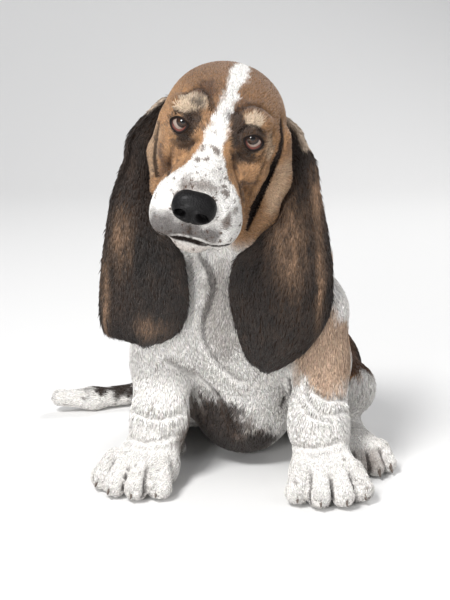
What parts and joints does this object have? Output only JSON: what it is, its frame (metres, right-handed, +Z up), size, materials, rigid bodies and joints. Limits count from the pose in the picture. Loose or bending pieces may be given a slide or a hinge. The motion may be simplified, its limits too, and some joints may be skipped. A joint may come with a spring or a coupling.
{
  "type": "basset hound puppy, sitting",
  "caption": "Life-size young basset hound sitting upright with hanging ears, loose face and throat skin, short stout legs and its tail on the floor; a still figure that rests on flat soles.",
  "frame": {"origin": "on the floor, under the middle of the box that bounds the dog", "axes": "+Z up from the floor; the dog faces -Y; its own left side is +X"},
  "size_m": [0.378, 0.3996, 0.4168],
  "materials": {
    "coat": "short dense fur, white with tan, brown and black patches",
    "eye": "wet, glossy, dark brown iris",
    "nose_leather": "moist pebbled black skin",
    "claw": "dark horn"
  },
  "bodies": {
    "root": {"head": "coat", "neck": "coat", "torso": "coat", "tail": "coat", "foreleg_right": "coat", "forepaw_right": "coat", "foreleg_left": "coat", "forepaw_left": "coat", "hindleg_right": "coat", "hindpaw_right": "coat", "hindleg_left": "coat", "hindpaw_left": "coat", "ear_right": "coat", "ear_left": "coat", "eye_left": "eye", "eye_right": "eye", "nose": "nose_leather", "forepaw_right_claw_1": "claw", "forepaw_right_claw_2": "claw", "forepaw_right_claw_3": "claw", "forepaw_right_claw_4": "claw", "forepaw_left_claw_1": "claw", "forepaw_left_claw_2": "claw", "forepaw_left_claw_3": "claw", "forepaw_left_claw_4": "claw", "hindpaw_right_claw_1": "claw", "hindpaw_right_claw_2": "claw", "hindpaw_right_claw_3": "claw", "hindpaw_right_claw_4": "claw", "hindpaw_left_claw_1": "claw", "hindpaw_left_claw_2": "claw", "hindpaw_left_claw_3": "claw", "hindpaw_left_claw_4": "claw"}
  },
  "joints": []
}
